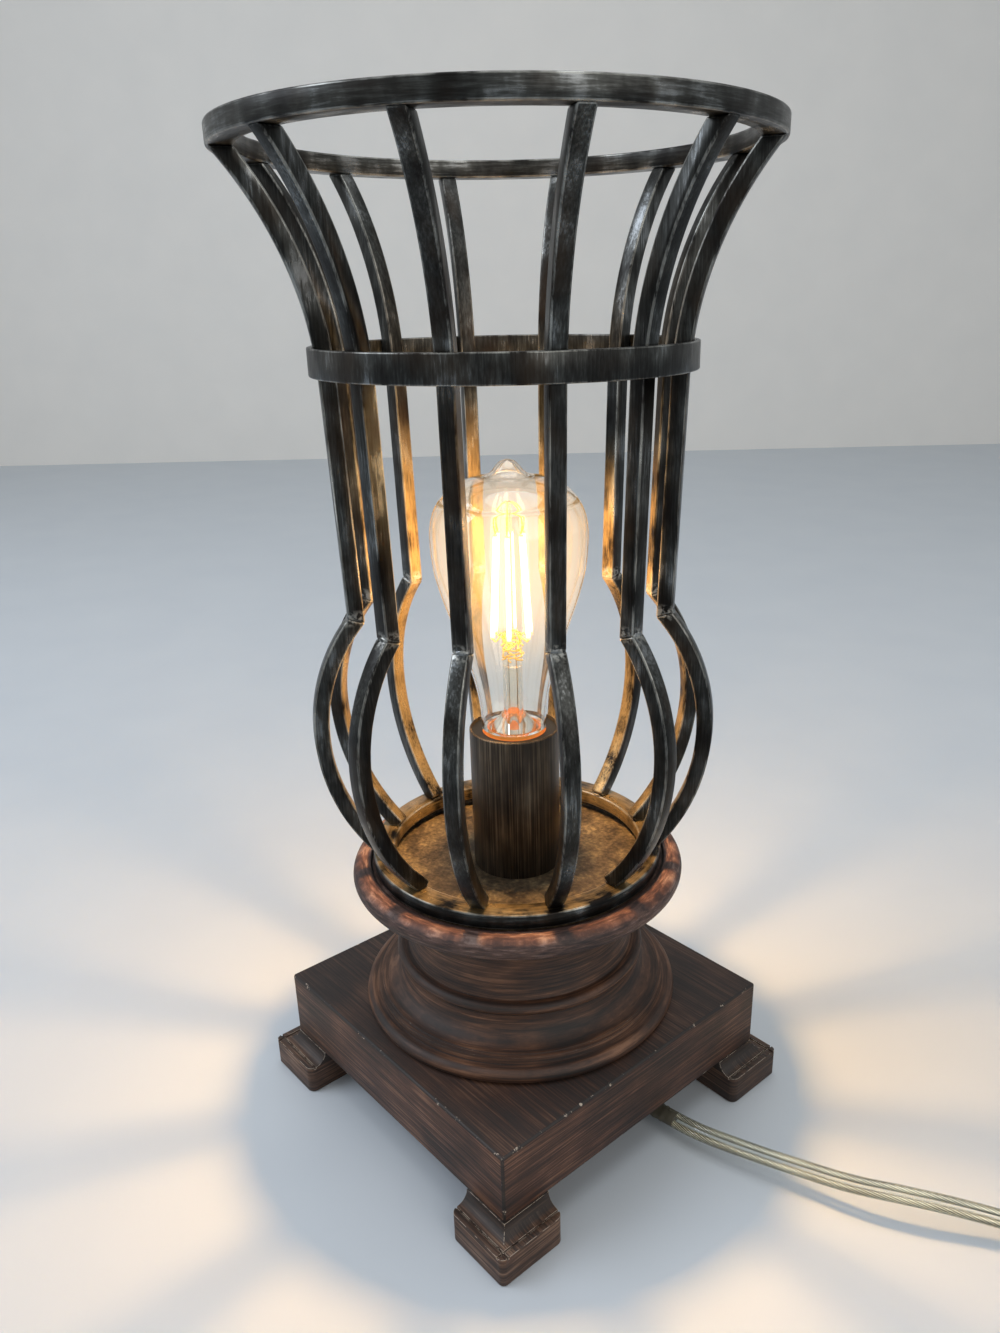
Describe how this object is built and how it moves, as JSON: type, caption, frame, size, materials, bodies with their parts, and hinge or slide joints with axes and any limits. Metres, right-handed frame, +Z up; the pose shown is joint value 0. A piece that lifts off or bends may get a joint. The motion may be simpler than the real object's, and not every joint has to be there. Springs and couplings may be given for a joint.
{
  "type": "cage table lamp",
  "caption": "Table lamp: a clear filament bulb in a flared cage of welded square bar, on a turned wooden pedestal and a square footed slab, with a coiled cord, a cord switch and a plug.",
  "frame": {"origin": "middle of the four feet's footprint, on the table", "axes": "+Z up along the lamp's axis; X and Y along the square slab's sides; the cord leaves on the +X side"},
  "size_m": [0.4228, 0.3642, 0.4115],
  "materials": {
    "dark_wood": "satin brown stain with brushed streaks",
    "turned_wood": "satin brown stain",
    "red_wood": "satin red-brown stain",
    "pan_metal": "mottled antique gold",
    "cage_steel": "blackened with silver brushed streaks",
    "socket_bronze": "brushed antique bronze",
    "core_plastic": "matte",
    "shell_copper": "bright",
    "contact_brass": "bright",
    "pipe_steel": "zinc plated",
    "bulb_glass": "clear",
    "cap_metal": "rolled bright",
    "tip_insulator": "gloss",
    "stem_glass": "clear",
    "filament": "glowing when lit",
    "wire": "bright",
    "bushing_plastic": "matte",
    "core_wire": "gloss",
    "cord_plastic": "clear over bright strands",
    "switch_plastic": "gloss",
    "wheel_plastic": "satin",
    "plug_plastic": "gloss"
  },
  "bodies": {
    "lamp": {"foot_1": "dark_wood", "foot_2": "dark_wood", "foot_3": "dark_wood", "foot_4": "dark_wood", "plinth_slab": "dark_wood", "pedestal": "turned_wood", "cap_disc": "red_wood", "cage_pan": "pan_metal", "bottom_ring": "cage_steel", "mid_band": "cage_steel", "top_ring": "cage_steel", "flare_rib_01": "cage_steel", "flare_rib_02": "cage_steel", "flare_rib_03": "cage_steel", "flare_rib_04": "cage_steel", "flare_rib_05": "cage_steel", "flare_rib_06": "cage_steel", "flare_rib_07": "cage_steel", "flare_rib_08": "cage_steel", "flare_rib_09": "cage_steel", "flare_rib_10": "cage_steel", "flare_rib_11": "cage_steel", "flare_rib_12": "cage_steel", "belly_rib_01": "cage_steel", "belly_rib_02": "cage_steel", "belly_rib_03": "cage_steel", "belly_rib_04": "cage_steel", "belly_rib_05": "cage_steel", "belly_rib_06": "cage_steel", "belly_rib_07": "cage_steel", "belly_rib_08": "cage_steel", "belly_rib_09": "cage_steel", "belly_rib_10": "cage_steel", "belly_rib_11": "cage_steel", "belly_rib_12": "cage_steel", "socket_shell": "socket_bronze", "socket_core": "core_plastic", "screw_shell": "shell_copper", "centre_contact": "contact_brass", "terminal_screws": "contact_brass", "threaded_pipe": "pipe_steel", "pipe_nuts": "pipe_steel", "pipe_washer": "pipe_steel", "bulb_glass": "bulb_glass", "bulb_cap": "cap_metal", "bulb_tip": "tip_insulator", "glass_stem": "stem_glass", "filaments": "filament", "filament_wires": "wire", "cord_bushing": "bushing_plastic", "inner_cord": "core_wire", "cord_run": "cord_plastic", "cord_coil": "cord_plastic", "cord_tail": "cord_plastic", "cord_lead": "cord_plastic", "switch_base": "switch_plastic", "switch_cover": "switch_plastic", "plug_body": "plug_plastic", "plug_blades": "contact_brass"},
    "thumb_wheel": {"switch_wheel": "wheel_plastic"}
  },
  "joints": [
    {"name": "wheel_turn", "type": "hinge", "parent": "lamp", "child": "thumb_wheel", "pos_m": [0.2916, 0.20453, 0.008], "axis": [0, 0, 1], "continuous": true}
  ]
}
